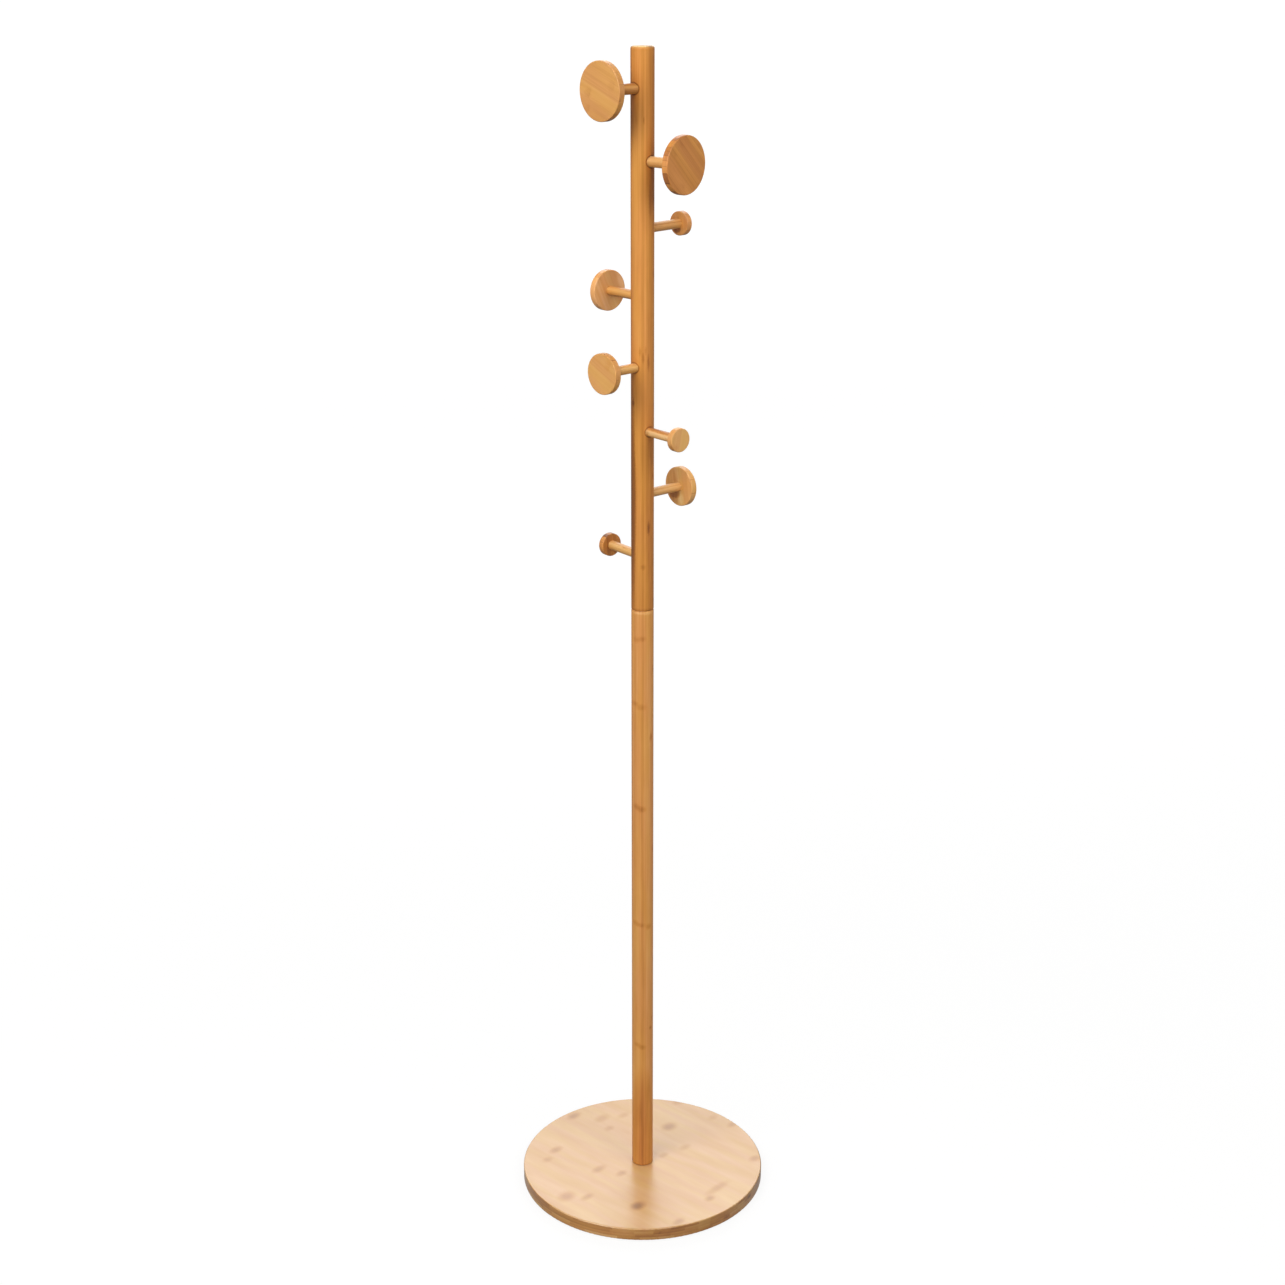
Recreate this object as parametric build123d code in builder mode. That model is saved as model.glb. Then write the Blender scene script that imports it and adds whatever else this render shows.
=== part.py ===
from build123d import *
import math
import os

# Free-standing bamboo coat stand: a round board, a two-piece round pole that
# screws together half-way up, and eight turned pegs that climb the upper pole
# in a helix, each about a quarter turn on from the one above it.
#
# Frame: the origin is where the pole's axis meets the floor, +Z is up.
# The helix of pegs starts along -Y.  All lengths are millimetres.

# ---- driving dimensions ----------------------------------------------------
OVERALL_HEIGHT = 1750.0
POLE_DIAMETER = 33.0
SEAM_HEIGHT = 953.0

BOARD_DIAMETER = 380.0
BOARD_THICKNESS = 20.0
PAD_DIAMETER = 20.0
PAD_THICKNESS = 2.0
PAD_COUNT = 4
PAD_CIRCLE_RADIUS = 160.0
PAD_START_ANGLE = 45.0

TOP_ROUND = 3.5
FOOT_ROUND = 3.0
SEAM_ROUND = 2.0              # lower end of the upper pole
SEAM_CHAMFER = 1.0            # upper end of the lower pole
BOARD_TOP_ROUND = 1.5
BOARD_BOTTOM_ROUND = 1.0

PEG_TOP_HEIGHT = 1694.0
PEG_SPACING = 94.5
PEG_FIRST_ANGLE = -90.0
PEG_TURN = 90.0
LARGE, MEDIUM, SMALL = "large", "medium", "small"
PEG_SIZES = [LARGE, LARGE, SMALL, MEDIUM, MEDIUM, SMALL, MEDIUM, SMALL]
PEG_SKEW = [1.0, 6.5, 4.0, 0.0, 2.0, -2.0, -1.5, -4.0]  # degrees off its quarter turn, as drilled
PEG_DROP = [-0.5, 2.0, 0.0, -0.5, 3.5, 1.0, 1.5, -0.5]    # below its even height, as drilled
PEG_REACH = {LARGE: 79.0, MEDIUM: 79.0, SMALL: 83.0}     # from the pole's axis to the disc's face
DISC_THICKNESS = 10.0
DISC_ROUND = 1.2
DISC_DIAMETER = {LARGE: 80.0, MEDIUM: 58.0, SMALL: 34.0}
DOWEL_DIAMETER = {LARGE: 15.0, MEDIUM: 13.5, SMALL: 13.5}

# how far the pegs' ends are let in
SOCKET_FLOOR = 9.0            # distance of a peg socket's floor from the pole's axis
SOCKET_MOUTH_FLOOR = 13.0     # the same for the wider mouth round the stem
SOCKET_MOUTH_GAP = 0.5
DISC_SOCKET_DEPTH = 6.0

# fasteners, with threads as plain cylinders at their outer diameter
FIT = 0.05                    # radial gap of every pin in its hole
STUD_DIAMETER = 10.0
STUD_GRIP = 25.0              # length of the pole stud on each side of the seam
POLE_INSERT_DIAMETER = 14.0
POLE_INSERT_RECESS = 0.5
POLE_INSERT_CLEARANCE = 3.0   # free depth under the stud's lower end

PEG_STUD_DIAMETER = 6.0
PEG_STUD_GRIP = 18.0
PEG_INSERT_DIAMETER = 9.0
PEG_INSERT_LENGTH = 12.0
PEG_STUD_END = 4.0            # the stud's inner end, this far past the pole's axis

BOLT_DIAMETER = 8.0
BOLT_LENGTH = 30.0
BOLT_HEAD_DIAMETER = 13.0
BOLT_HEAD_HEIGHT = 8.0
BOLT_SOCKET_FLATS = 6.0
BOLT_SOCKET_DEPTH = 4.0
BOLT_HEAD_CHAMFER = 0.6
THREAD_END_CHAMFER = 0.9      # at the free end of the bolt and both ends of the pole stud
BOLT_HOLE_DIAMETER = 9.0
WASHER_DIAMETER = 20.0
WASHER_HOLE_DIAMETER = 8.4
WASHER_THICKNESS = 1.6
COUNTERBORE_DIAMETER = 24.0
COUNTERBORE_DEPTH = 11.0
FOOT_INSERT_DIAMETER = 12.0
FOOT_INSERT_LENGTH = 22.0
FOOT_SOCKET_DEPTH = 25.0

# ---- derived heights and radii ---------------------------------------------
POLE_RADIUS = POLE_DIAMETER / 2
BOARD_BOTTOM = PAD_THICKNESS
BOARD_TOP = BOARD_BOTTOM + BOARD_THICKNESS
COUNTERBORE_FLOOR = BOARD_BOTTOM + COUNTERBORE_DEPTH
BOLT_HEAD_TOP = COUNTERBORE_FLOOR - WASHER_THICKNESS
STUD_BOTTOM = SEAM_HEIGHT - STUD_GRIP
STUD_TOP = SEAM_HEIGHT + STUD_GRIP
LOWER_CAVITY_FLOOR = STUD_BOTTOM - POLE_INSERT_CLEARANCE
DISC_BACK = {size: reach - DISC_THICKNESS for size, reach in PEG_REACH.items()}


def level(height):
    """The horizontal plane at a height above the floor."""
    return Plane.XY.offset(height)


def peg_plane(index):
    """The plane through the pole's axis that a peg leaves at right angles."""
    angle = math.radians(PEG_FIRST_ANGLE + PEG_TURN * index + PEG_SKEW[index])
    return Plane(
        origin=(0, 0, PEG_TOP_HEIGHT - PEG_SPACING * index - PEG_DROP[index]),
        x_dir=(0, 0, 1),
        z_dir=(math.cos(angle), math.sin(angle), 0),
    )


def save(piece, name):
    """Label one finished piece and write it under its node's name."""
    piece.part.label = name
    export_step(piece.part, f"parts/{name}.step")


# ---- base ------------------------------------------------------------------
def make_base_board():
    """The round board, counterbored from below for the pole's bolt."""
    with BuildPart() as board:
        with BuildSketch(level(BOARD_BOTTOM)):
            Circle(BOARD_DIAMETER / 2)
        extrude(amount=BOARD_THICKNESS)
        rims = board.edges().filter_by(GeomType.CIRCLE).sort_by(Axis.Z)
        fillet(rims[-1], BOARD_TOP_ROUND)
        rims = board.edges().filter_by(GeomType.CIRCLE).sort_by(Axis.Z)
        fillet(rims[0], BOARD_BOTTOM_ROUND)
        with BuildSketch(level(BOARD_BOTTOM)):
            Circle(BOLT_HOLE_DIAMETER / 2)
        extrude(amount=BOARD_THICKNESS, mode=Mode.SUBTRACT)
        with BuildSketch(level(BOARD_BOTTOM)):
            Circle(COUNTERBORE_DIAMETER / 2)
        extrude(amount=COUNTERBORE_DEPTH, mode=Mode.SUBTRACT)
    return board


def make_floor_pad(index):
    """One self-adhesive pad under the board."""
    angle = math.radians(PAD_START_ANGLE + index * 360 / PAD_COUNT)
    centre = (PAD_CIRCLE_RADIUS * math.cos(angle), PAD_CIRCLE_RADIUS * math.sin(angle))
    with BuildPart() as pad:
        with BuildSketch(level(0)):
            with Locations(centre):
                Circle(PAD_DIAMETER / 2)
        extrude(amount=PAD_THICKNESS)
    return pad


def make_base_bolt():
    """The socket-head bolt that holds the pole on the board."""
    with BuildPart() as bolt:
        with BuildSketch(level(BOLT_HEAD_TOP - BOLT_HEAD_HEIGHT)):
            Circle(BOLT_HEAD_DIAMETER / 2)
        extrude(amount=BOLT_HEAD_HEIGHT)
        chamfer(bolt.edges().group_by(Axis.Z)[0], BOLT_HEAD_CHAMFER)
        with BuildSketch(level(BOLT_HEAD_TOP)):
            Circle(BOLT_DIAMETER / 2)
        extrude(amount=BOLT_LENGTH)
        chamfer(bolt.edges().group_by(Axis.Z)[-1], THREAD_END_CHAMFER)
        with BuildSketch(level(BOLT_HEAD_TOP - BOLT_HEAD_HEIGHT)):
            RegularPolygon(BOLT_SOCKET_FLATS / 2, side_count=6, major_radius=False)
        extrude(amount=BOLT_SOCKET_DEPTH, mode=Mode.SUBTRACT)
    return bolt


def make_base_washer():
    """The flat washer between the bolt's head and the counterbore's floor."""
    with BuildPart() as washer:
        with BuildSketch(level(BOLT_HEAD_TOP)):
            Circle(WASHER_DIAMETER / 2)
            Circle(WASHER_HOLE_DIAMETER / 2, mode=Mode.SUBTRACT)
        extrude(amount=WASHER_THICKNESS)
    return washer


# ---- threaded inserts and studs --------------------------------------------
def make_insert(plane, outer_diameter, bore_diameter, length):
    """A sleeve with a plain bore, rising from a plane."""
    with BuildPart() as insert:
        with BuildSketch(plane):
            Circle(outer_diameter / 2)
            Circle(bore_diameter / 2 + FIT, mode=Mode.SUBTRACT)
        extrude(amount=length)
    return insert


def make_pole_stud():
    """The stud that joins the two poles."""
    with BuildPart() as stud:
        with BuildSketch(level(STUD_BOTTOM)):
            Circle(STUD_DIAMETER / 2)
        extrude(amount=STUD_TOP - STUD_BOTTOM)
        chamfer(stud.edges().filter_by(GeomType.CIRCLE), THREAD_END_CHAMFER)
    return stud


# ---- poles -----------------------------------------------------------------
def make_lower_pole():
    """The plain pole between the board and the seam."""
    with BuildPart() as pole:
        with BuildSketch(level(BOARD_TOP)):
            Circle(POLE_RADIUS)
        extrude(amount=SEAM_HEIGHT - BOARD_TOP)
        chamfer(pole.edges().group_by(Axis.Z)[-1], SEAM_CHAMFER)
        fillet(pole.edges().group_by(Axis.Z)[0], FOOT_ROUND)
        with BuildSketch(level(BOARD_TOP)):
            Circle(FOOT_INSERT_DIAMETER / 2)
        extrude(amount=FOOT_SOCKET_DEPTH, mode=Mode.SUBTRACT)
        with BuildSketch(level(LOWER_CAVITY_FLOOR)):
            Circle(POLE_INSERT_DIAMETER / 2)
        extrude(amount=SEAM_HEIGHT - LOWER_CAVITY_FLOOR, mode=Mode.SUBTRACT)
    return pole


def make_upper_pole():
    """The pole above the seam, drilled for its stud and for the pegs."""
    with BuildPart() as pole:
        with BuildSketch(level(SEAM_HEIGHT)):
            Circle(POLE_RADIUS)
        extrude(amount=OVERALL_HEIGHT - SEAM_HEIGHT)
        fillet(pole.edges().group_by(Axis.Z)[-1], TOP_ROUND)
        fillet(pole.edges().group_by(Axis.Z)[0], SEAM_ROUND)
        with BuildSketch(level(SEAM_HEIGHT)):
            Circle(POLE_INSERT_DIAMETER / 2)
        extrude(amount=STUD_GRIP, mode=Mode.SUBTRACT)
        for index, size in enumerate(PEG_SIZES):
            with BuildSketch(peg_plane(index).offset(SOCKET_FLOOR)):
                Circle(DOWEL_DIAMETER[size] / 2 + FIT)
            extrude(amount=POLE_RADIUS, mode=Mode.SUBTRACT)
            with BuildSketch(peg_plane(index).offset(SOCKET_MOUTH_FLOOR)):
                Circle(DOWEL_DIAMETER[size] / 2 + SOCKET_MOUTH_GAP)
            extrude(amount=POLE_RADIUS, mode=Mode.SUBTRACT)
            with BuildSketch(peg_plane(index).offset(-PEG_STUD_END)):
                Circle(PEG_INSERT_DIAMETER / 2)
            extrude(amount=SOCKET_FLOOR + PEG_STUD_END, mode=Mode.SUBTRACT)
    return pole


# ---- pegs ------------------------------------------------------------------
def make_dowel(index, size):
    """A peg's round stem, from its socket in the pole to its socket in the disc."""
    with BuildPart() as dowel:
        with BuildSketch(peg_plane(index).offset(SOCKET_FLOOR)):
            Circle(DOWEL_DIAMETER[size] / 2)
        extrude(amount=DISC_BACK[size] + DISC_SOCKET_DEPTH - SOCKET_FLOOR)
        with BuildSketch(peg_plane(index).offset(SOCKET_FLOOR)):
            Circle(PEG_STUD_DIAMETER / 2 + FIT)
        extrude(amount=PEG_STUD_GRIP, mode=Mode.SUBTRACT)
    return dowel


def make_disc(index, size):
    """The round head on a peg's end, with a blind hole for the stem."""
    with BuildPart() as disc:
        with BuildSketch(peg_plane(index).offset(DISC_BACK[size])):
            Circle(DISC_DIAMETER[size] / 2)
        extrude(amount=DISC_THICKNESS)
        fillet(disc.edges().filter_by(GeomType.CIRCLE), DISC_ROUND)
        with BuildSketch(peg_plane(index).offset(DISC_BACK[size])):
            Circle(DOWEL_DIAMETER[size] / 2 + FIT)
        extrude(amount=DISC_SOCKET_DEPTH, mode=Mode.SUBTRACT)
    return disc


def make_peg_studs():
    """The eight studs that screw the stems to the pole."""
    with BuildPart() as studs:
        for index in range(len(PEG_SIZES)):
            with BuildSketch(peg_plane(index).offset(-PEG_STUD_END)):
                Circle(PEG_STUD_DIAMETER / 2)
            extrude(amount=PEG_STUD_END + SOCKET_FLOOR + PEG_STUD_GRIP)
    return studs


def make_peg_inserts():
    """The eight sleeves in the pole that take those studs."""
    with BuildPart() as inserts:
        for index in range(len(PEG_SIZES)):
            with BuildSketch(peg_plane(index).offset(SOCKET_FLOOR - PEG_INSERT_LENGTH)):
                Circle(PEG_INSERT_DIAMETER / 2)
                Circle(PEG_STUD_DIAMETER / 2 + FIT, mode=Mode.SUBTRACT)
            extrude(amount=PEG_INSERT_LENGTH)
    return inserts


# ---- every piece, written to its own file ----------------------------------
os.makedirs("parts", exist_ok=True)

save(make_base_board(), "base_board")
for pad_index in range(PAD_COUNT):
    save(make_floor_pad(pad_index), f"floor_pad_{pad_index + 1}")
save(make_base_bolt(), "base_bolt")
save(make_base_washer(), "base_washer")

save(make_lower_pole(), "lower_pole")
save(
    make_insert(level(BOARD_TOP), FOOT_INSERT_DIAMETER, BOLT_DIAMETER, FOOT_INSERT_LENGTH),
    "lower_pole_foot_insert",
)
save(
    make_insert(
        level(LOWER_CAVITY_FLOOR),
        POLE_INSERT_DIAMETER,
        STUD_DIAMETER,
        SEAM_HEIGHT - POLE_INSERT_RECESS - LOWER_CAVITY_FLOOR,
    ),
    "lower_pole_top_insert",
)
save(make_pole_stud(), "pole_stud")
save(
    make_insert(
        level(SEAM_HEIGHT + POLE_INSERT_RECESS),
        POLE_INSERT_DIAMETER,
        STUD_DIAMETER,
        STUD_GRIP - POLE_INSERT_RECESS,
    ),
    "upper_pole_bottom_insert",
)
save(make_upper_pole(), "upper_pole")

for peg_index, peg_size in enumerate(PEG_SIZES):
    save(make_dowel(peg_index, peg_size), f"peg_{peg_index + 1}_dowel")
    save(make_disc(peg_index, peg_size), f"peg_{peg_index + 1}_disc")
save(make_peg_studs(), "peg_studs")
save(make_peg_inserts(), "peg_inserts")
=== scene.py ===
import math

import bmesh
import bpy
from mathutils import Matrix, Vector


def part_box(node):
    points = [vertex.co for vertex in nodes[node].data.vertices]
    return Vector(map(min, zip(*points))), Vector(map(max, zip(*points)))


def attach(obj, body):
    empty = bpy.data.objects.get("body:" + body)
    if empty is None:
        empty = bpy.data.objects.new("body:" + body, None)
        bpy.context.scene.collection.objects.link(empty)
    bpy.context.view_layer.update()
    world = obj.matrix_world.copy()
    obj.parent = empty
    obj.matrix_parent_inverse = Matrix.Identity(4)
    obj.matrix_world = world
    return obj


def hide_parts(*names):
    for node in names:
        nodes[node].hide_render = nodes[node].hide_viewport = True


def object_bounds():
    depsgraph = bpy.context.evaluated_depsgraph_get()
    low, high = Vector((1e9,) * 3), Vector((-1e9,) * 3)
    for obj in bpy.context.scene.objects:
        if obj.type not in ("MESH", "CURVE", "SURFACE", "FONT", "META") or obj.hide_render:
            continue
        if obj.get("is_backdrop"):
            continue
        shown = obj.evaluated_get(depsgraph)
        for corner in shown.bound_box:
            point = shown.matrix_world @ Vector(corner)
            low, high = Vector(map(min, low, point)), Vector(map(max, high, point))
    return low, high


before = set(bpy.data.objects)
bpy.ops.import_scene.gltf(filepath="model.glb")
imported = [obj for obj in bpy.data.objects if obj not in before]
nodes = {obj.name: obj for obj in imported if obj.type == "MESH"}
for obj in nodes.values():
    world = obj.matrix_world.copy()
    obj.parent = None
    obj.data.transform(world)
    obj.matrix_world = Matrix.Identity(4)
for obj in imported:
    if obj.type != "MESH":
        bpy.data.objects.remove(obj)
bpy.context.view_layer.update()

# The looks of a bamboo coat stand.  Lengths are metres in the row frame, except inside the
# bamboo shader, which works in millimetres along, across and through the wood's strips.

MM = 0.001
UP = Vector((0, 0, 1))

# ---- camera, lights and floor ----------------------------------------------
CAMERA_AZIMUTH = math.radians(47.9)
CAMERA_DISTANCE = 3.037
CAMERA_HEIGHT = 1.943
CAMERA_PITCH = math.radians(18.95)
CAMERA_LENS = 61.07
CAMERA_SENSOR = 36.0

FLOOR_SIZE = 400.0
FLOOR_DROP = -0.1 * MM
DOME_RADIUS = 80.0
FLOOR_COLOR = (0.10, 0.10, 0.10)
FLOOR_GLOW_NEAR = 0.88
FLOOR_GLOW_FAR = 0.96
# where the floor's glow starts and stops changing, in metres from the stand
FLOOR_GLOW_RANGE = (1.0, 8.0)
# the room that lights the stand and reflects in it: (height of the direction, -1 to 1; brightness)
SURROUNDINGS = [(-1.0, 0.14), (-0.60, 0.24), (-0.42, 0.45), (-0.30, 0.25), (-0.02, 0.22), (0.04, 0.85),
                (0.12, 0.85), (0.30, 0.42), (1.0, 0.55)]

# each light: name, azimuth round the stand from the camera, elevation, distance, size, power, colour
LIGHTS = [
    ("key", -34, 40, 3.4, (2.3, 2.0), 88, (1.0, 0.985, 0.95)),
    ("fill", 42, 34, 3.6, (1.8, 1.8), 40, (1.0, 0.99, 0.98)),
    ("back_panel", 180, 34, 4.5, (4.0, 2.2), 72, (1.0, 1.0, 1.0)),
]
LIGHT_TARGET = Vector((0, 0, 0.9))


def around(azimuth, elevation, distance):
    """A point at an azimuth measured like the camera's, an elevation and a distance."""
    flat = math.cos(elevation) * distance
    return Vector((math.sin(azimuth) * flat, -math.cos(azimuth) * flat, math.sin(elevation) * distance))


def make_camera():
    camera = bpy.data.objects.new("camera", bpy.data.cameras.new("camera"))
    bpy.context.scene.collection.objects.link(camera)
    camera.data.lens = CAMERA_LENS
    camera.data.sensor_width = CAMERA_SENSOR
    camera.location = around(CAMERA_AZIMUTH, 0, CAMERA_DISTANCE) + UP * CAMERA_HEIGHT
    camera.rotation_mode = "QUATERNION"
    camera.rotation_quaternion = (-around(CAMERA_AZIMUTH, CAMERA_PITCH, 1)).to_track_quat("-Z", "Y")
    bpy.context.scene.camera = camera


def make_lights():
    for name, azimuth, elevation, distance, size, power, color in LIGHTS:
        light = bpy.data.objects.new(name, bpy.data.lights.new(name, "AREA"))
        bpy.context.scene.collection.objects.link(light)
        light.data.shape = "RECTANGLE"
        light.data.size, light.data.size_y = size
        light.data.energy = power
        light.data.color = color
        place = around(CAMERA_AZIMUTH + math.radians(azimuth), math.radians(elevation), distance)
        light.location = LIGHT_TARGET + place
        light.rotation_mode = "QUATERNION"
        light.rotation_quaternion = (-place).to_track_quat("-Z", "Y")
        light.visible_camera = False


def make_world():
    """A room that is brightest just above eye level and dim from there down, but for one band."""
    world = bpy.data.worlds.new("studio")
    world.use_nodes = True
    tree = world.node_tree
    direction = tree.nodes.new("ShaderNodeTexCoord")
    split = tree.nodes.new("ShaderNodeSeparateXYZ")
    height = tree.nodes.new("ShaderNodeMapRange")
    ramp = tree.nodes.new("ShaderNodeValToRGB")
    height.inputs["From Min"].default_value = -1.0
    elements = ramp.color_ramp.elements
    while len(elements) < len(SURROUNDINGS):
        elements.new(0.5)
    for element, (level, brightness) in zip(elements, SURROUNDINGS):
        element.position = (level + 1) / 2
        element.color = (brightness, brightness, brightness, 1)
    tree.links.new(direction.outputs["Generated"], split.inputs[0])
    tree.links.new(split.outputs["Z"], height.inputs["Value"])
    tree.links.new(height.outputs["Result"], ramp.inputs["Fac"])
    tree.links.new(ramp.outputs["Color"], tree.nodes["Background"].inputs["Color"])
    bpy.context.scene.world = world
    bpy.context.scene.view_settings.view_transform = "Standard"


# ---- shader helpers --------------------------------------------------------
class Shader:
    """A node tree that is written as expressions: each method adds a node and returns its output."""

    def __init__(self, tree):
        self.tree = tree

    def add(self, kind, inputs=(), **settings):
        node = self.tree.nodes.new(kind)
        for key, value in settings.items():
            setattr(node, key, value)
        self.fill(node, inputs)
        return node

    def fill(self, node, inputs):
        """Links a node's inputs to outputs, and sets the others to plain values."""
        for key, value in dict(inputs).items():
            if isinstance(value, bpy.types.NodeSocket):
                self.tree.links.new(value, node.inputs[key])
            else:
                node.inputs[key].default_value = value

    def vectors(self, operation, *values):
        return self.add("ShaderNodeVectorMath", enumerate(values), operation=operation)

    def math(self, operation, *values):
        return self.add("ShaderNodeMath", enumerate(values), operation=operation).outputs[0]

    def plus(self, *values):
        total = values[0]
        for value in values[1:]:
            total = self.math("ADD", total, value)
        return total

    def times(self, a, b):
        return self.math("MULTIPLY", a, b)

    def scaled(self, value, factor, centre=0.5):
        """factor * (value - centre)"""
        return self.math("MULTIPLY_ADD", value, factor, -factor * centre)

    def step(self, value, low, high, at_low=0.0, at_high=1.0):
        """A smooth step of value from at_low to at_high between low and high."""
        inputs = {"Value": value, "From Min": low, "From Max": high, "To Min": at_low, "To Max": at_high}
        return self.add("ShaderNodeMapRange", inputs, interpolation_type="SMOOTHSTEP").outputs["Result"]

    def vector(self, x, y, z):
        return self.add("ShaderNodeCombineXYZ", {"X": x, "Y": y, "Z": z}).outputs[0]

    def split(self, vector):
        return list(self.add("ShaderNodeSeparateXYZ", {"Vector": vector}).outputs)

    def dot(self, vector, axis):
        return self.vectors("DOT_PRODUCT", vector, axis).outputs["Value"]

    def noise(self, vector, detail=2.0, roughness=0.5, distortion=0.0):
        inputs = {"Vector": vector, "Scale": 1.0, "Detail": detail, "Roughness": roughness,
                  "Distortion": distortion}
        return self.add("ShaderNodeTexNoise", inputs).outputs[0]

    def fibres(self, place, lengths, *settings):
        """Noise drawn out along the grain.  place and lengths are along, across and through it."""
        parts = [self.times(part, 1 / length) for part, length in zip(place, lengths)]
        return self.noise(self.vector(*parts), *settings)

    def speckle(self, place, scale, detail):
        """Even noise, scale times to the metre."""
        return self.noise(self.vectors("MULTIPLY", place, (scale,) * 3).outputs[0], detail)

    def bump(self, strength, distance, height):
        inputs = {"Strength": strength, "Distance": distance, "Height": height}
        return self.add("ShaderNodeBump", inputs).outputs["Normal"]

    def random(self, x, y, z):
        """Three even random numbers, the same for the same whole x, y and z."""
        return self.add("ShaderNodeTexWhiteNoise", {"Vector": self.vector(x, y, z)}).outputs["Color"]

    def ramp(self, value, stops):
        node = self.add("ShaderNodeValToRGB", {"Fac": value})
        elements = node.color_ramp.elements
        while len(elements) < len(stops):
            elements.new(0.5)
        for element, (place, color) in zip(elements, stops):
            element.position = place
            element.color = (*color, 1)
        return node.outputs["Color"]

    def mix(self, factor, a, b, blend="MIX"):
        inputs = {0: factor, 6: a, 7: b}
        return self.add("ShaderNodeMix", inputs, data_type="RGBA", blend_type=blend).outputs[2]


def new_material(name):
    """A material, its nodes to write on and its Principled shader."""
    material = bpy.data.materials.new(name)
    material.use_nodes = True
    tree = material.node_tree
    return material, Shader(tree), tree.nodes["Principled BSDF"]


def linear(red, green, blue):
    """An 8-bit sRGB colour as linear light."""
    return tuple(
        (c / 255 / 12.92) if c <= 10 else ((c / 255 + 0.055) / 1.055) ** 2.4 for c in (red, green, blue)
    )


# ---- bamboo ----------------------------------------------------------------
BAMBOO_TONES = [
    (0.00, (82, 45, 18)),
    (0.25, (140, 84, 36)),
    (0.45, (184, 117, 52)),
    (0.62, (208, 142, 70)),
    (0.80, (222, 164, 94)),
    (1.00, (238, 196, 138)),
]


# the rings (nodes) of the cane, in mm: the line's half width, the cloud's half length, how far the
# cloud hangs below the line, and how far the line wanders
RING_LINE = 1.7
RING_CLOUD = 9.0
RING_DROP = 2.5
RING_WANDER = 11.0
# how much each feature of the wood moves its tone, which runs from 0 for dark to 1 for light
PLAIN_TONE = 0.60
BLOTCH_TONE = 0.20
BROAD_TONE = 0.26
MIDDLE_TONE = 0.26
FINE_TONE = 0.14
DASH_TONE = -0.05
LAYER_TONE = -0.05
RING_TONE = -0.30
GLUE_TONE = -0.10
END_TONE = -0.12
# the distance from a strip's edge, in mm, where the glue is full and where it ends
GLUE_REACH = (0.03, 0.25)


def strip_at(s, given, across, through):
    """Which layer and strip a place is in, and how far it is from the middle of each, as -0.5 to 0.5."""
    layer_place = s.math("DIVIDE", through, given["Layer"])
    layer = s.math("FLOOR", layer_place)
    in_layer = s.plus(s.math("FRACT", layer_place), -0.5)
    shift = s.times(s.split(s.random(layer, given["Seed"], 7.0))[0], given["Stagger"])
    strip_place = s.plus(s.math("DIVIDE", across, given["Strip"]), shift, 0.5)
    strip = s.math("FLOOR", strip_place)
    in_strip = s.plus(s.math("FRACT", strip_place), -0.5)
    return layer, in_layer, strip, in_strip


def cane_rings(s, given, place, layer, strip, in_strip, own):
    """The rings of the cane: a thin wavy line, the soft brown cloud round it and how strong both are.
    They take up part of the strip's width and lie deeper than Clear, as the face has its own marks."""
    along, across, through = place
    march = s.times(s.plus(strip, s.times(layer, 1.7)), given["March"])
    ring_place = s.plus(
        s.math("DIVIDE", along, given["Internode"]), s.times(own[0], given["Jitter"]), march, 0.5,
    )
    ring_number = s.math("FLOOR", ring_place)
    ring_own = s.split(s.random(strip, layer, s.plus(ring_number, s.times(given["Seed"], 13.0))))
    off_ring = s.times(s.plus(s.math("FRACT", ring_place), -0.5), given["Internode"])
    bow = s.times(s.math("MULTIPLY_ADD", s.times(in_strip, in_strip), 12.0, -1.0), s.plus(own[1], -0.4))
    off_ring = s.plus(off_ring, bow, s.scaled(s.fibres(place, (10, 5, 5), 3.0), RING_WANDER))
    line = s.step(s.math("ABSOLUTE", off_ring), 0.0, RING_LINE, 1.0, 0.0)
    below = s.math("ABSOLUTE", s.plus(off_ring, RING_DROP))
    wisps = s.step(s.fibres(place, (14, 1.6, 1.6)), 0.2, 0.75, 0.3, 1.0)
    cloud = s.times(s.step(below, 0.0, RING_CLOUD, 1.0, 0.0), wisps)
    middle_of_ring = s.scaled(ring_own[1], 0.7)
    sideways = s.math("ABSOLUTE", s.plus(in_strip, s.times(middle_of_ring, -1.0)))
    narrow = s.step(sideways, 0.08, 0.62, 1.0, 0.1)
    deep = s.math("GREATER_THAN", through, given["Clear"])
    strength = s.times(s.math("MULTIPLY_ADD", ring_own[0], 0.8, 0.45), narrow)
    return line, cloud, s.times(strength, s.times(given["Rings"], deep))


def glue_lines(s, given, in_strip, in_layer):
    """Where a place is close to the edge of its strip or layer."""
    edges = []
    for inside, size in ((in_strip, given["Strip"]), (in_layer, given["Layer"])):
        edges.append(s.times(s.plus(0.5, s.times(s.math("ABSOLUTE", inside), -1.0)), size))
    return s.step(s.math("MINIMUM", *edges), *GLUE_REACH, 1.0, 0.0)


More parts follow.
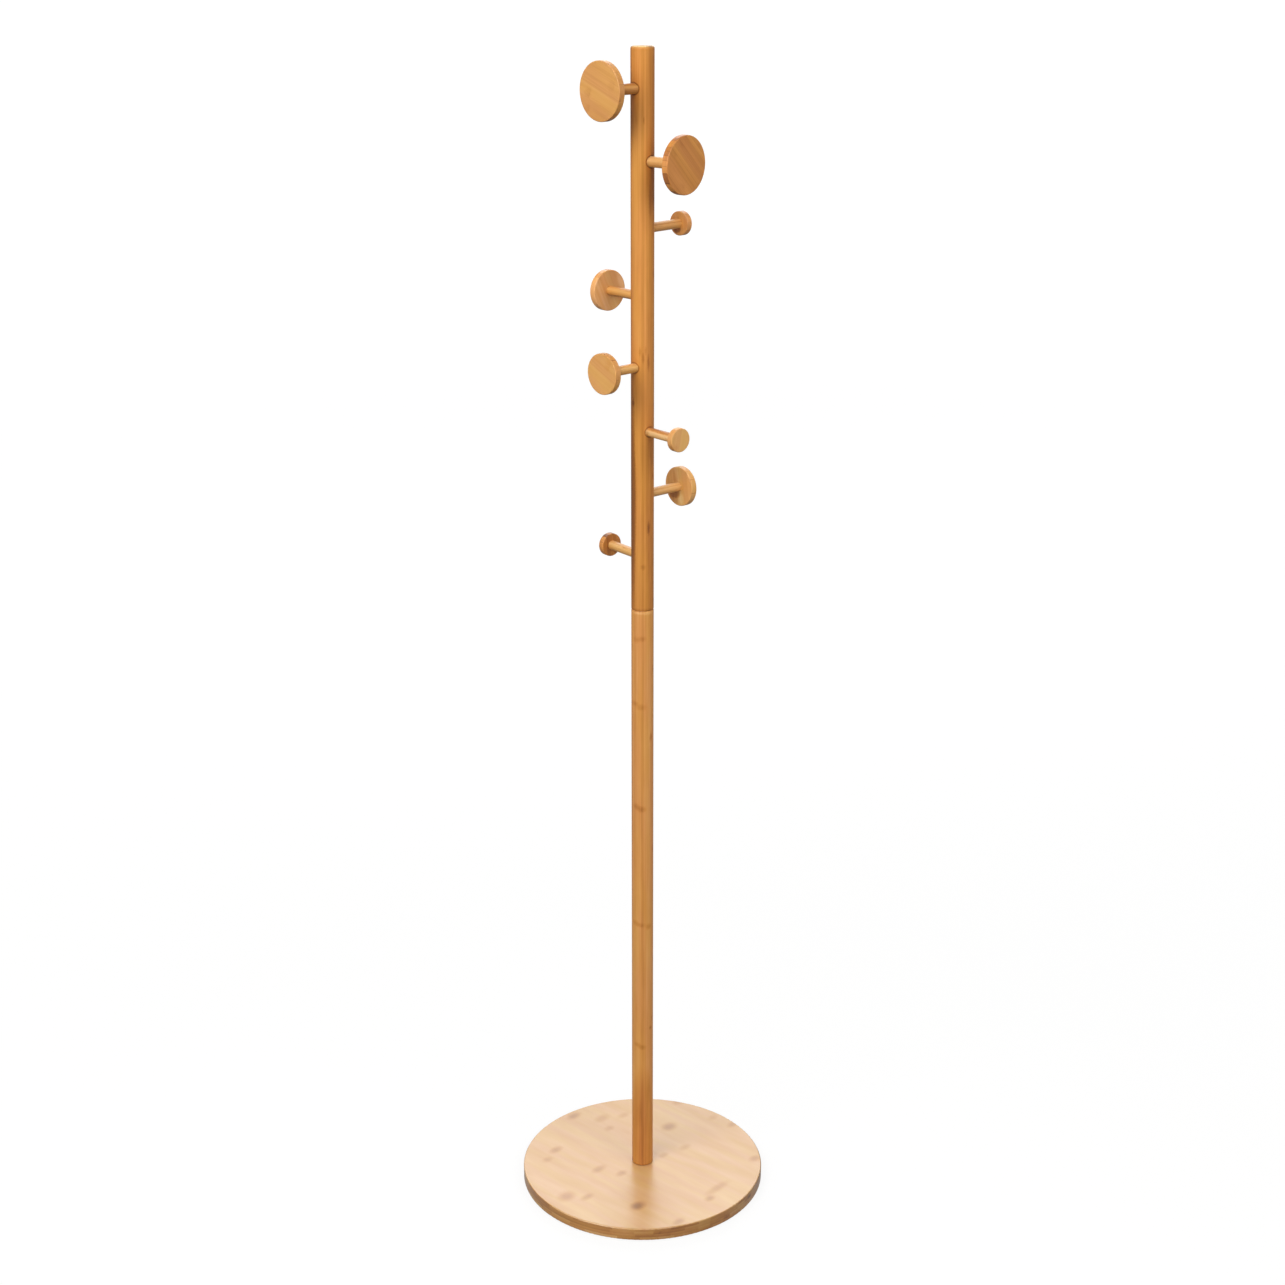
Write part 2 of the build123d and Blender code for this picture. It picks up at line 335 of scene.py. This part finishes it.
def bamboo_group():
    """Laminated bamboo as a solid texture: strips glued side by side and in layers, each with its own
    tone, fibres along it and the rings (nodes) of the cane at intervals.  Grain is a place in mm:
    along the strips, across them and down through the layers from the face."""
    tree = bpy.data.node_groups.new("laminated_bamboo", "ShaderNodeTree")
    face = tree.interface
    face.new_socket("Grain", in_out="INPUT", socket_type="NodeSocketVector")
    floats = ["Strip", "Layer", "Stagger", "Internode", "March", "Jitter", "Contrast", "Streaks",
              "Blotches", "Glue", "Rings", "Clear", "Seed", "End", "Patchwork"]
    for name in floats:
        face.new_socket(name, in_out="INPUT", socket_type="NodeSocketFloat")
    for name in ("Tone", "Height"):
        face.new_socket(name, in_out="OUTPUT", socket_type="NodeSocketFloat")
    s = Shader(tree)
    given = s.add("NodeGroupInput").outputs
    along, across, through = s.split(given["Grain"])
    layer, in_layer, strip, in_strip = strip_at(s, given, across, through)
    own = s.split(s.random(strip, layer, given["Seed"]))
    line, cloud, strength = cane_rings(s, given, (along, across, through), layer, strip, in_strip, own)
    ring = s.times(s.plus(s.times(line, 0.35), s.times(cloud, 0.8)), strength)
    glue = glue_lines(s, given, in_strip, in_layer)

    # fibres, pushed aside a little at the rings
    push = s.noise(s.vector(s.times(along, 0.2), s.times(across, 0.3), 0.0), 1.0)
    place = (along, s.plus(across, s.times(cloud, s.scaled(push, 2.5))), through)
    blotch = s.fibres(place, (120, 22, 22))
    broad = s.fibres(place, (320, 5, 5))
    middle = s.fibres(place, (90, 2.3, 2.3), 2.0, 0.55, 0.4)
    fine = s.fibres(place, (26, 0.45, 0.45), 2.0, 0.6)
    dashes = s.step(fine, 0.57, 0.70)

    at_ends = s.math("MULTIPLY_ADD", given["End"], 2.0, 1.0)
    streaks = s.plus(s.scaled(broad, BROAD_TONE), s.scaled(middle, MIDDLE_TONE), s.scaled(fine, FINE_TONE),
                     s.times(dashes, DASH_TONE))
    spread = s.math("MULTIPLY_ADD", given["End"], given["Patchwork"], given["Contrast"])
    tone = s.plus(
        PLAIN_TONE,
        s.times(s.plus(own[2], -0.5), spread),
        s.times(s.scaled(blotch, BLOTCH_TONE), given["Blotches"]),
        s.times(streaks, given["Streaks"]),
        s.times(s.times(in_layer, at_ends), LAYER_TONE),
        s.times(ring, RING_TONE),
        s.times(s.times(s.times(glue, given["Glue"]), at_ends), GLUE_TONE),
        s.times(given["End"], END_TONE),
    )
    height = s.plus(
        s.times(fine, 0.5), s.times(middle, 0.35), s.times(dashes, -0.25), s.times(glue, -0.9),
        s.times(line, 0.5),
    )
    result = s.add("NodeGroupOutput", {"Tone": tone, "Height": height})
    result.is_active_output = True
    return tree


BAMBOO = bamboo_group()
GRAIN = {"Stagger": 0.5, "March": 0.0, "Jitter": 1.0, "Contrast": 0.14, "Streaks": 1.0,
         "Blotches": 1.0, "Glue": 1.0, "Rings": 1.0, "Clear": -100.0, "Internode": 240.0, "Strip": 20.0,
         "Layer": 5.5}
# how far the wood's hue wanders, as factors, and over how many mm along, across and through its strips
COOLER = (1.0, 0.975, 1.07, 1)
WARMER = (1.0, 1.012, 0.93, 1)
WARMTH_SCALE = (140, 18, 18)
# how far a mark's edge is pushed about along and across the grain, in mm
RAGGED_PUSH = Vector((5.0, 2.4, 0.0))
# painted shade round a socket's mouth: where the shade is full and where it ends, from the stem, and its
# strength
MOUTH_FULL = 0.6 * MM
MOUTH_END = 2.6 * MM
MOUTH_SHADE = -0.22


def marked(s, grain, marks, level, depth):
    """How much tone the marks take at a point.  Each is a blot with a ragged edge: its place along and
    across the grain, half its length and width, all in mm, its strength, and how crisp its edge is.
    level is how far from the face the marks are strongest, and depth how far they reach from there."""
    ragged = s.add("ShaderNodeTexNoise", {"Vector": grain, "Scale": 0.45, "Detail": 3.0}).outputs["Color"]
    pushed = s.vectors("MULTIPLY_ADD", ragged, RAGGED_PUSH, RAGGED_PUSH * -0.5).outputs[0]
    grain = s.vectors("ADD", grain, pushed).outputs[0]
    total = 0.0
    for along, across, length, width, strength, *crisp in marks:
        middle = (-along / length, -across / width, -level / depth)
        place = s.vectors("MULTIPLY_ADD", grain, (1 / length, 1 / width, 1 / depth), middle).outputs[0]
        distance = s.vectors("LENGTH", place).outputs["Value"]
        total = s.plus(s.step(distance, *(crisp or [0.15]), 1.25, -strength, 0.0), total)
    return total


def painted_socket_shade(s, place, pegs):
    """How much tone the painted shade round the mouths of the pegs' sockets takes at a point.  Each peg is a
    place on its axis, the way it points and its radius, in metres."""
    total = 0.0
    for middle, out, radius in pegs:
        offset = s.vectors("SUBTRACT", place, middle).outputs[0]
        aside = s.vectors("CROSS_PRODUCT", offset, out).outputs[0]
        distance = s.vectors("LENGTH", aside).outputs["Value"]
        ring = s.step(distance, radius + MOUTH_FULL, radius + MOUTH_END, MOUTH_SHADE, 0.0)
        total = s.plus(s.times(ring, s.math("GREATER_THAN", s.dot(place, out), 0.0)), total)
    return total


def bamboo(name, along, across, place, seed, shift=0.0, tint=(1, 1, 1), cut=None, cut_shift=0.0,
           cut_tint=(1, 1, 1), end_tint=(1, 1, 1), gloss=0.45, coat=0.15, coat_roughness=0.16, marks=(),
           mark_level=0.0, mark_depth=15.0, pegs=(), specular=0.5, **lay):
    """Laminated bamboo with strips that run along one axis and lie side by side across another.  place
    is a point on the face, in metres.  Surfaces that face away from the axis cut are cut edges, with
    their own tone and tint, and surfaces that the strips end in have end_tint."""
    material, s, shader = new_material(name)
    coordinates = s.add("ShaderNodeTexCoord").outputs
    spot = s.vectors("SUBTRACT", coordinates["Object"], place).outputs[0]
    through = along.cross(across)
    grain = s.vector(*[s.dot(spot, axis / MM) for axis in (along, across, through)])
    end = s.step(s.math("ABSOLUTE", s.dot(coordinates["Normal"], along)), 0.45, 0.95)
    edge = s.step(s.math("ABSOLUTE", s.dot(coordinates["Normal"], cut)), 0.3, 0.9, 1.0, 0.0) if cut else 0.0
    lay = {**GRAIN, **lay, "Seed": seed, "Grain": grain, "End": s.math("MAXIMUM", end, edge)}
    lay.setdefault("Patchwork", 2 * lay["Contrast"])
    group = s.add("ShaderNodeGroup", node_tree=BAMBOO)
    s.fill(group, lay)
    tone = s.plus(group.outputs["Tone"], shift)
    # the marks are knots, rings and patches, and on some pieces painted shade and a painted highlight
    if marks:
        tone = s.plus(tone, marked(s, grain, marks, mark_level, mark_depth))
    # painted shade round the mouths of the pegs' sockets
    if pegs:
        tone = s.plus(tone, painted_socket_shade(s, coordinates["Object"], pegs))
    tone = s.plus(tone, s.times(edge, cut_shift))

    warmth = s.step(s.fibres(s.split(grain), WARMTH_SCALE, 1.0), 0.35, 0.65)
    tones = [(level, tuple(c * t for c, t in zip(linear(*color), tint))) for level, color in BAMBOO_TONES]
    color = s.mix(1.0, s.ramp(tone, tones), s.mix(warmth, COOLER, WARMER), "MULTIPLY")
    color = s.mix(edge, color, (*cut_tint, 1), "MULTIPLY")
    color = s.mix(end, color, (*end_tint, 1), "MULTIPLY")
    s.fill(shader, {
        "Base Color": color, "Roughness": s.plus(s.scaled(tone, -0.18), gloss),
        "Normal": s.bump(0.35, 0.05 * MM, group.outputs["Height"]), "IOR": 1.5,
        "Specular IOR Level": specular, "Coat Weight": coat, "Coat Roughness": coat_roughness,
        "Coat IOR": 1.5,
    })
    return material


# ---- metal and rubber ------------------------------------------------------
def zinc(name, axis=UP):
    """Bright zinc plate with fine turning marks around an axis."""
    material, s, shader = new_material(name)
    place = s.add("ShaderNodeTexCoord").outputs["Object"]
    spots = s.speckle(place, 420, 4.0)
    marks = s.noise(s.vector(s.times(s.dot(place, axis / MM), 9.0), 0.0, 0.0), 2.0)
    color = s.ramp(spots, [(0.30, linear(158, 158, 150)), (0.55, linear(192, 192, 186)),
                           (0.75, linear(210, 208, 196))])
    s.fill(shader, {
        "Base Color": color, "Roughness": s.plus(s.scaled(spots, 0.35), s.scaled(marks, 0.2), 0.30),
        "Normal": s.bump(0.25, 0.02 * MM, marks), "Metallic": 1.0,
    })
    return material


def rubber(name):
    """Matt black rubber with a fine grain and some dust."""
    material, s, shader = new_material(name)
    place = s.add("ShaderNodeTexCoord").outputs["Object"]
    grain = s.speckle(place, 2600, 3.0)
    dust = s.speckle(place, 160, 4.0)
    s.fill(shader, {
        "Base Color": s.ramp(dust, [(0.35, linear(30, 30, 31)), (0.75, linear(64, 62, 60))]),
        "Roughness": s.plus(s.scaled(grain, 0.3), 0.72), "Normal": s.bump(0.5, 0.08 * MM, grain),
    })
    return material


def dress(piece, material):
    piece.data.materials.clear()
    piece.data.materials.append(material)


# ---- meshes ----------------------------------------------------------------
THREAD_DEPTH = 0.613
THREAD_ROWS = 8
KNURL_TEETH = 24
KNURL_DEPTH = 0.25 * MM


def make_floor():
    """A pale floor that glows a little more far off, so that it meets the backdrop without a line."""
    half = FLOOR_SIZE / 2
    mesh = bpy.data.meshes.new("floor")
    corners = [(x * half, y * half, FLOOR_DROP) for x, y in ((-1, -1), (1, -1), (1, 1), (-1, 1))]
    mesh.from_pydata(corners, [], [(0, 1, 2, 3)])
    floor = bpy.data.objects.new("floor", mesh)
    bpy.context.scene.collection.objects.link(floor)
    material, s, shader = new_material("floor_paper")
    place = s.add("ShaderNodeTexCoord").outputs["Object"]
    near, far = FLOOR_GLOW_RANGE
    limits = {"Value": s.vectors("LENGTH", place).outputs["Value"], "From Min": near, "From Max": far,
              "To Min": FLOOR_GLOW_NEAR, "To Max": FLOOR_GLOW_FAR}
    glow = s.add("ShaderNodeMapRange", limits).outputs["Result"]
    s.fill(shader, {"Base Color": (*FLOOR_COLOR, 1), "Roughness": 0.9, "Specular IOR Level": 0.1,
                    "Emission Color": (1, 1, 1, 1), "Emission Strength": glow})
    mesh.materials.append(material)
    floor.visible_glossy = False
    floor.visible_diffuse = False
    floor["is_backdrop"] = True


def new_piece(name, bm, material, smooth_angle=math.radians(35)):
    mesh = bpy.data.meshes.new(name)
    bmesh.ops.recalc_face_normals(bm, faces=bm.faces)
    bm.to_mesh(mesh)
    bm.free()
    mesh.shade_smooth()
    mesh.set_sharp_from_angle(angle=smooth_angle)
    piece = bpy.data.objects.new(name, mesh)
    bpy.context.scene.collection.objects.link(piece)
    mesh.materials.append(material)
    return piece


def rounded(corners, radius, steps=5):
    """An outline with each corner after the first and before the last made an arc."""
    outline = [corners[0]]
    for before, corner, after in zip(corners, corners[1:], corners[2:]):
        before, corner, after = Vector(before), Vector(corner), Vector(after)
        into, out = (before - corner).normalized(), (after - corner).normalized()
        half = into.angle(out) / 2
        reach = radius / math.tan(half)
        centre = corner + (into + out).normalized() * (radius / math.sin(half))
        start, end = corner + into * reach - centre, corner + out * reach - centre
        for k in range(steps + 1):
            direction = start.lerp(end, k / steps).normalized()
            outline.append(tuple(centre + direction * radius))
    outline.append(corners[-1])
    return outline


def lathe(outline, segments):
    """A solid about Z from rings that start and end on the axis.  Each ring is a radius, a height and,
    if it isn't round, how its radius changes with the angle and the height."""
    bm = bmesh.new()
    rings = []
    turns = [2 * math.pi * k / segments for k in range(segments)]
    for radius, height, *shape in outline:
        if radius < 1e-9:
            rings.append([bm.verts.new((0, 0, height))])
            continue
        radii = [shape[0](radius, angle, height) if shape else radius for angle in turns]
        places = [(r * math.cos(a), r * math.sin(a), height) for r, a in zip(radii, turns)]
        rings.append([bm.verts.new(place) for place in places])
    for low, high in zip(rings, rings[1:]):
        for k in range(segments):
            nxt = (k + 1) % segments
            corners = [low[k % len(low)], low[nxt % len(low)], high[nxt % len(high)], high[k % len(high)]]
            bm.faces.new(list(dict.fromkeys(corners)))
    return bm


def thread(pitch):
    """A ring shape: the flats and flanks of a metric thread, cut into the radius."""
    def cut(radius, angle, height):
        off_crest = abs((height / pitch - angle / (2 * math.pi)) % 1 - 0.5) * 2
        return radius - THREAD_DEPTH * pitch * min(max((off_crest - 1 / 8) / (5 / 8), 0), 1)
    return cut


def threaded(radius, pitch, low, high):
    """The rings of a thread between two heights."""
    count = round((high - low) / pitch * THREAD_ROWS)
    shape = thread(pitch)
    return [(radius, low + (high - low) * k / count, shape) for k in range(count + 1)]


def knurl(radius, angle, height):
    """A ring shape: the straight knurling of a socket head."""
    return radius - KNURL_DEPTH * abs(2 * (angle * KNURL_TEETH / (2 * math.pi) % 1) - 1)


def hexagon(radius, angle, height):
    """A ring shape: a hexagon with this radius to its flats."""
    return radius / math.cos((angle + math.pi / 6) % (math.pi / 3) - math.pi / 6)


def make_backdrop():
    """A white dome far off, which only the camera sees, so that no view shows the room itself."""
    white, s, shader = new_material("backdrop_white")
    s.fill(shader, {"Base Color": (0, 0, 0, 1), "Emission Color": (1, 1, 1, 1), "Emission Strength": 1.0})
    slopes = [math.radians(degrees) for degrees in range(0, 91, 15)]
    outline = [(DOME_RADIUS * math.cos(slope), DOME_RADIUS * math.sin(slope)) for slope in slopes]
    dome = new_piece("backdrop", lathe(outline, 32), white)
    dome.visible_glossy = False
    dome.visible_diffuse = False
    dome.visible_transmission = False
    dome.visible_shadow = False
    dome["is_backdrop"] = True


make_camera()
make_lights()
make_world()
make_floor()
make_backdrop()

# ---- board -----------------------------------------------------------------
TO_CAMERA = around(CAMERA_AZIMUTH, 0, 1).normalized()
TO_RIGHT = UP.cross(TO_CAMERA)

board_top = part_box("base_board")[1].z
BOARD_SLANT = math.radians(6)
board_along = Vector((math.cos(BOARD_SLANT), math.sin(BOARD_SLANT), 0))
BOARD_KNOTS = [
    (-175, -25, 10, 16, 0.25), (-135, -50, 11, 18, 0.17), (-115, -80, 8, 14, 0.13), (-105, -35, 8, 11, 0.15),
    (-35, -105, 13, 17, 0.28), (-125, 70, 9, 15, 0.23), (-115, 100, 8, 12, 0.14), (-35, 65, 9, 17, 0.20),
    (0, 50, 8, 12, 0.21), (25, -75, 8, 13, 0.15), (15, -35, 7, 11, 0.13), (-20, 155, 14, 19, 0.22),
    (5, 135, 8, 14, 0.20), (80, 100, 12, 15, 0.38), (155, 90, 8, 14, 0.20), (140, -20, 9, 30, 0.19),
    (150, 10, 8, 11, 0.23), (130, -125, 9, 13, 0.21), (38, -180, 8, 13, 0.19), (0, -174, 8, 12, 0.11),
    (-75, -173, 9, 13, 0.16), (110, 120, 120, 95, 0.05, 0.0),
]
BOARD_LOOK = {
    "shift": 0.11, "cut": UP, "cut_shift": 0.045, "cut_tint": (1.05, 0.94, 0.71), "gloss": 0.34,
    "end_tint": (0.78, 0.72, 0.64), "coat": 1.0, "coat_roughness": 0.32, "tint": (0.85, 1.045, 1.55),
    "Clear": 5.0, "Internode": 270.0, "Layer": 5.0, "Contrast": 0.015, "Streaks": 0.07, "Glue": 0.05,
    "Blotches": 1.5, "Patchwork": 0.26,
}
dress(nodes["base_board"], bamboo("board_bamboo", board_along, board_along.cross(UP), UP * board_top, 3.0,
                                  marks=BOARD_KNOTS, **BOARD_LOOK))

# ---- poles -----------------------------------------------------------------
# the strips of the front lie a little left of the middle
STRIP_OFFSET = -4.6 * MM
pole_low, pole_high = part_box("lower_pole")
POLE_FRONT = TO_CAMERA * (pole_high.x - pole_low.x) / 2 + TO_RIGHT * STRIP_OFFSET
POLE_LAY = {"Stagger": 0.0, "March": 0.377, "Jitter": 0.0, "Internode": 290.0, "Clear": 8.0, "Streaks": 0.75}
# The cane's rings, and patches that are darker or lighter in the photograph.  Some are painted light: the
# dark bands down the upper pole's left side and down both its edges near the top, the dark band just above
# the seam and the darker foot are painted shade, and the light band just below the seam is a painted
# highlight, so they are right only from about the camera's side.
LOWER_MARKS = [
    (909, -4.5, 5.5, 5.0, 0.11), (911, 4.0, 5.0, 6.5, 0.12), (809, -8.5, 5.0, 7.5, 0.17),
    (804, 2.5, 6.0, 9.0, 0.10), (644, -5.0, 5.5, 6.0, 0.14), (640, 3.0, 6.0, 8.0, 0.16),
    (450, -6.0, 5.5, 6.0, 0.13), (447, 2.0, 5.0, 8.0, 0.12), (444, 14.0, 6.0, 5.0, 0.14),
    (268, 17.0, 4.0, 2.5, 0.26), (240, -4.0, 5.0, 6.5, 0.12), (236, 4.0, 5.0, 7.0, 0.13),
    # on the line below, the last mark, darker towards the foot, is painted shade
    (755, 17.0, 9.0, 2.5, 0.22), (115, 0.0, 28.0, 6.0, 0.06), (20, 5.0, 155.0, 60.0, 0.15, 0.85),
    # painted highlight: a light band along the lower pole's top edge, at the seam
    (950.5, 4.6, 2.8, 60.0, -0.16),
]
UPPER_MARKS = [
    (1653, 6.5, 6.0, 1.6, 0.12), (1547, 15.0, 30.0, 2.2, 0.12), (1336, 1.0, 8.0, 2.2, 0.12),
    (1327, 5.5, 9.0, 2.4, 0.14), (1338, 9.0, 7.0, 2.0, 0.10), (1321, 13.0, 14.0, 2.2, 0.18),
    (1262, -8.5, 7.0, 2.2, 0.30), (1079, 13.5, 12.0, 2.4, 0.24), (1021, 5.5, 4.5, 4.5, 0.12),
    # on the line below, the marks at 1110 and 955 mm are painted shade: down the left side, and just above
    # the seam
    (1040, 4.6, 300.0, 60.0, 0.06), (1110, -15.0, 200.0, 9.5, 0.30, 0.85), (955, 4.6, 2.6, 60.0, 0.08, 0.3),
    # on the line below, the marks at 1600 and 1640 mm are painted shade down the right and left edges near
    # the top
    (1720, 4.6, 80.0, 60.0, 0.05), (1600, 21.0, 150.0, 8.0, 0.14, 0.4), (1640, -15.0, 100.0, 7.0, 0.12, 0.4),
]


def peg_axis(index):
    """A peg's middle, the way it points from the pole and its stem's radius."""
    low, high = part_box(f"peg_{index + 1}_dowel")
    middle = (low + high) / 2
    return middle, Vector((middle.x, middle.y, 0)).normalized(), (high.z - low.z) / 2


PEG_COUNT = 8
# a disc's thickness, and how far its marks reach into it, in mm
DISC_THICKNESS = 10.0
DISC_MARK_DEPTH = 6.0
peg_axes = [peg_axis(index) for index in range(PEG_COUNT)]
POLE_GLOSS = {"specular": 0.3, "coat": 0.08}
dress(nodes["lower_pole"], bamboo("lower_pole_bamboo", UP, TO_RIGHT, POLE_FRONT, 5.0, shift=0.07,
                                  marks=LOWER_MARKS, tint=(1.01, 1.03, 1.13), **POLE_GLOSS, **POLE_LAY))
# the upper pole's end_tint is a painted highlight: it makes its end faces, the top among them, pale
dress(nodes["upper_pole"], bamboo("upper_pole_bamboo", UP, TO_RIGHT, POLE_FRONT, 8.0, shift=-0.06,
                                  marks=UPPER_MARKS, tint=(0.985, 0.99, 0.89), end_tint=(1.3, 2.1, 4.2),
                                  pegs=peg_axes, **POLE_GLOSS, **POLE_LAY))

# ---- pegs ------------------------------------------------------------------
# for each peg from the top: the disc's grain angle, strip width, contrast, tone shift and tint, the
# stem's tone shift
HONEY = (0.985, 1.07, 1.20)
PALE = (0.98, 1.10, 1.32)
TAN = (1.04, 1.03, 1.10)
CARAMEL = (0.97, 0.95, 0.88)
WHEAT = (1.03, 1.06, 1.03)
PEGS = [
    # the first stem's dark tone shift is partly painted shade, from its disc's shadow
    (-20, 20.0, 0.03, 0.04, PALE, -0.13),
    (-45, 6.0, 0.12, -0.03, CARAMEL, 0.14),
    (80, 6.0, 0.08, 0.05, TAN, 0.06),
    (65, 20.0, 0.06, 0.23, TAN, 0.01),
    (-25, 20.0, 0.03, 0.11, HONEY, 0.07),
    (80, 20.0, 0.05, 0.18, HONEY, 0.26),
    (80, 8.0, 0.16, 0.17, WHEAT, 0.18),
    (85, 6.0, 0.14, -0.12, CARAMEL, 0.18),
]
# a darker stretch along one side of a stem in the photograph: under the fourth stem it is painted shade, and
# the sixth is darker along its top; a darker stretch along one side of a stem in the photograph, probably
# shade
STEM_MARKS = {3: [(0, -6.5, 60.0, 3.0, 0.25, 0.3)], 5: [(0, 6.5, 60.0, 3.2, 0.42, 0.3)]}
# Marks on a disc's front, or on its back where the camera sees that.  The strongest, the dark ones just
# below the stem on the backs of the third and seventh, are painted shadow of the stem.
BACK_MARKED = (2, 3, 6, 7)
DISC_MARKS = {
    0: [(14, -24, 30, 16, 0.05)],
    1: [(-8, 28, 40, 8, -0.08)],
    # painted shadow of the stem
    2: [(-8, -4, 5, 7, 0.36, 0.7)],
    3: [(3, 26, 14, 10, -0.09, 0.5)],
    # the middle mark here, the strong dark one, is painted shadow of the stem
    6: [(12, -6, 12, 3.5, 0.10, 0.6), (-11, -11, 6.5, 12, 0.36, 0.7), (-18, 3, 8, 6, -0.09, 0.6)],
}
for index, (angle, strip, contrast, shift, tint, stem_shift) in enumerate(PEGS):
    dowel, disc = f"peg_{index + 1}_dowel", f"peg_{index + 1}_disc"
    middle, out, radius = peg_axes[index]
    side = UP.cross(out)
    grain = side * math.cos(math.radians(angle)) + UP * math.sin(math.radians(angle))
    low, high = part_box(disc)
    face = out * max(abs(high.x), abs(low.x), abs(high.y), abs(low.y)) + UP * middle.z
    level = -DISC_THICKNESS if index in BACK_MARKED else 0.0
    dress(nodes[dowel], bamboo(f"{dowel}_bamboo", out, UP, middle, 20.0 + index, shift=stem_shift,
                               tint=HONEY, marks=STEM_MARKS.get(index, ())))
    dress(nodes[disc], bamboo(f"{disc}_bamboo", grain, out.cross(grain), face, 40.0 + index, shift=shift,
                              tint=tint, cut=out, cut_shift=0.05, marks=DISC_MARKS.get(index, ()),
                              mark_level=level, mark_depth=DISC_MARK_DEPTH, Strip=strip, Layer=20.0,
                              Rings=0.4, Contrast=contrast, Streaks=0.55))

# ---- metal and pads --------------------------------------------------------
metal = zinc("zinc_plate")
for name in ("base_washer", "lower_pole_foot_insert", "lower_pole_top_insert", "upper_pole_bottom_insert",
             "peg_studs", "peg_inserts"):
    dress(nodes[name], metal)


def make_stud():
    """The stud across the pole's seam: an M10 thread from end to end, with chamfered ends."""
    low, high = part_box("pole_stud")
    radius, pitch, chamfer = (high.x - low.x) / 2, 1.5 * MM, 1.0 * MM
    tip = radius - THREAD_DEPTH * pitch
    rings = [(0, low.z), (tip, low.z), *threaded(radius, pitch, low.z + chamfer, high.z - chamfer),
             (tip, high.z), (0, high.z)]
    stud = new_piece("stud_m10", lathe(rings, 48), metal)
    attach(stud, "stud")
    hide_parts("pole_stud")


def make_bolt():
    """The M8 socket-head bolt that holds the pole to the board, head down."""
    low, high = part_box("base_bolt")
    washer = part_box("base_washer")[0].z
    head, shank, pitch = (high.x - low.x) / 2, 4.0 * MM, 1.25 * MM
    flats, depth, edge = 3.0 * MM, 4.0 * MM, 0.5 * MM
    tip = shank - THREAD_DEPTH * pitch
    rings = [
        (0, low.z + depth), (flats, low.z + depth, hexagon), (flats, low.z + edge, hexagon),
        (flats * 1.25, low.z), (head - 2 * edge, low.z), (head - edge / 2, low.z + edge),
        (head, low.z + 1.5 * edge, knurl), (head, washer - 1.5 * edge, knurl),
        (head - edge / 2, washer - edge), (head - edge, washer), (shank + edge, washer),
        (shank, washer + edge), (shank, washer + 4 * edge),
        *threaded(shank, pitch, washer + 6 * edge, high.z - 2 * edge), (tip, high.z), (0, high.z),
    ]
    bolt = new_piece("bolt_m8", lathe(rings, 72), metal)
    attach(bolt, "lower")
    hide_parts("base_bolt")


def make_pad(name, material):
    """A rubber pad: a rounded edge above, and a hollow underneath that leaves a ring to stand on."""
    low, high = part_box(name)
    radius, height = (high.x - low.x) / 2, high.z - low.z
    corners = [(radius * 0.55, height * 0.2), (radius * 0.62, 0), (radius, 0), (radius, height),
               (radius * 0.8, height)]
    rings = [(0, height * 0.2), *rounded(corners, height * 0.25), (0, height)]
    bm = lathe(rings, 48)
    bmesh.ops.translate(bm, verts=bm.verts, vec=((low.x + high.x) / 2, (low.y + high.y) / 2, low.z))
    pad = new_piece(f"{name}_rubber", bm, material)
    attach(pad, "lower")
    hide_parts(name)


make_stud()
make_bolt()
pad_rubber = rubber("pad_rubber")
for index in range(4):
    make_pad(f"floor_pad_{index + 1}", pad_rubber)

low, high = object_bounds()
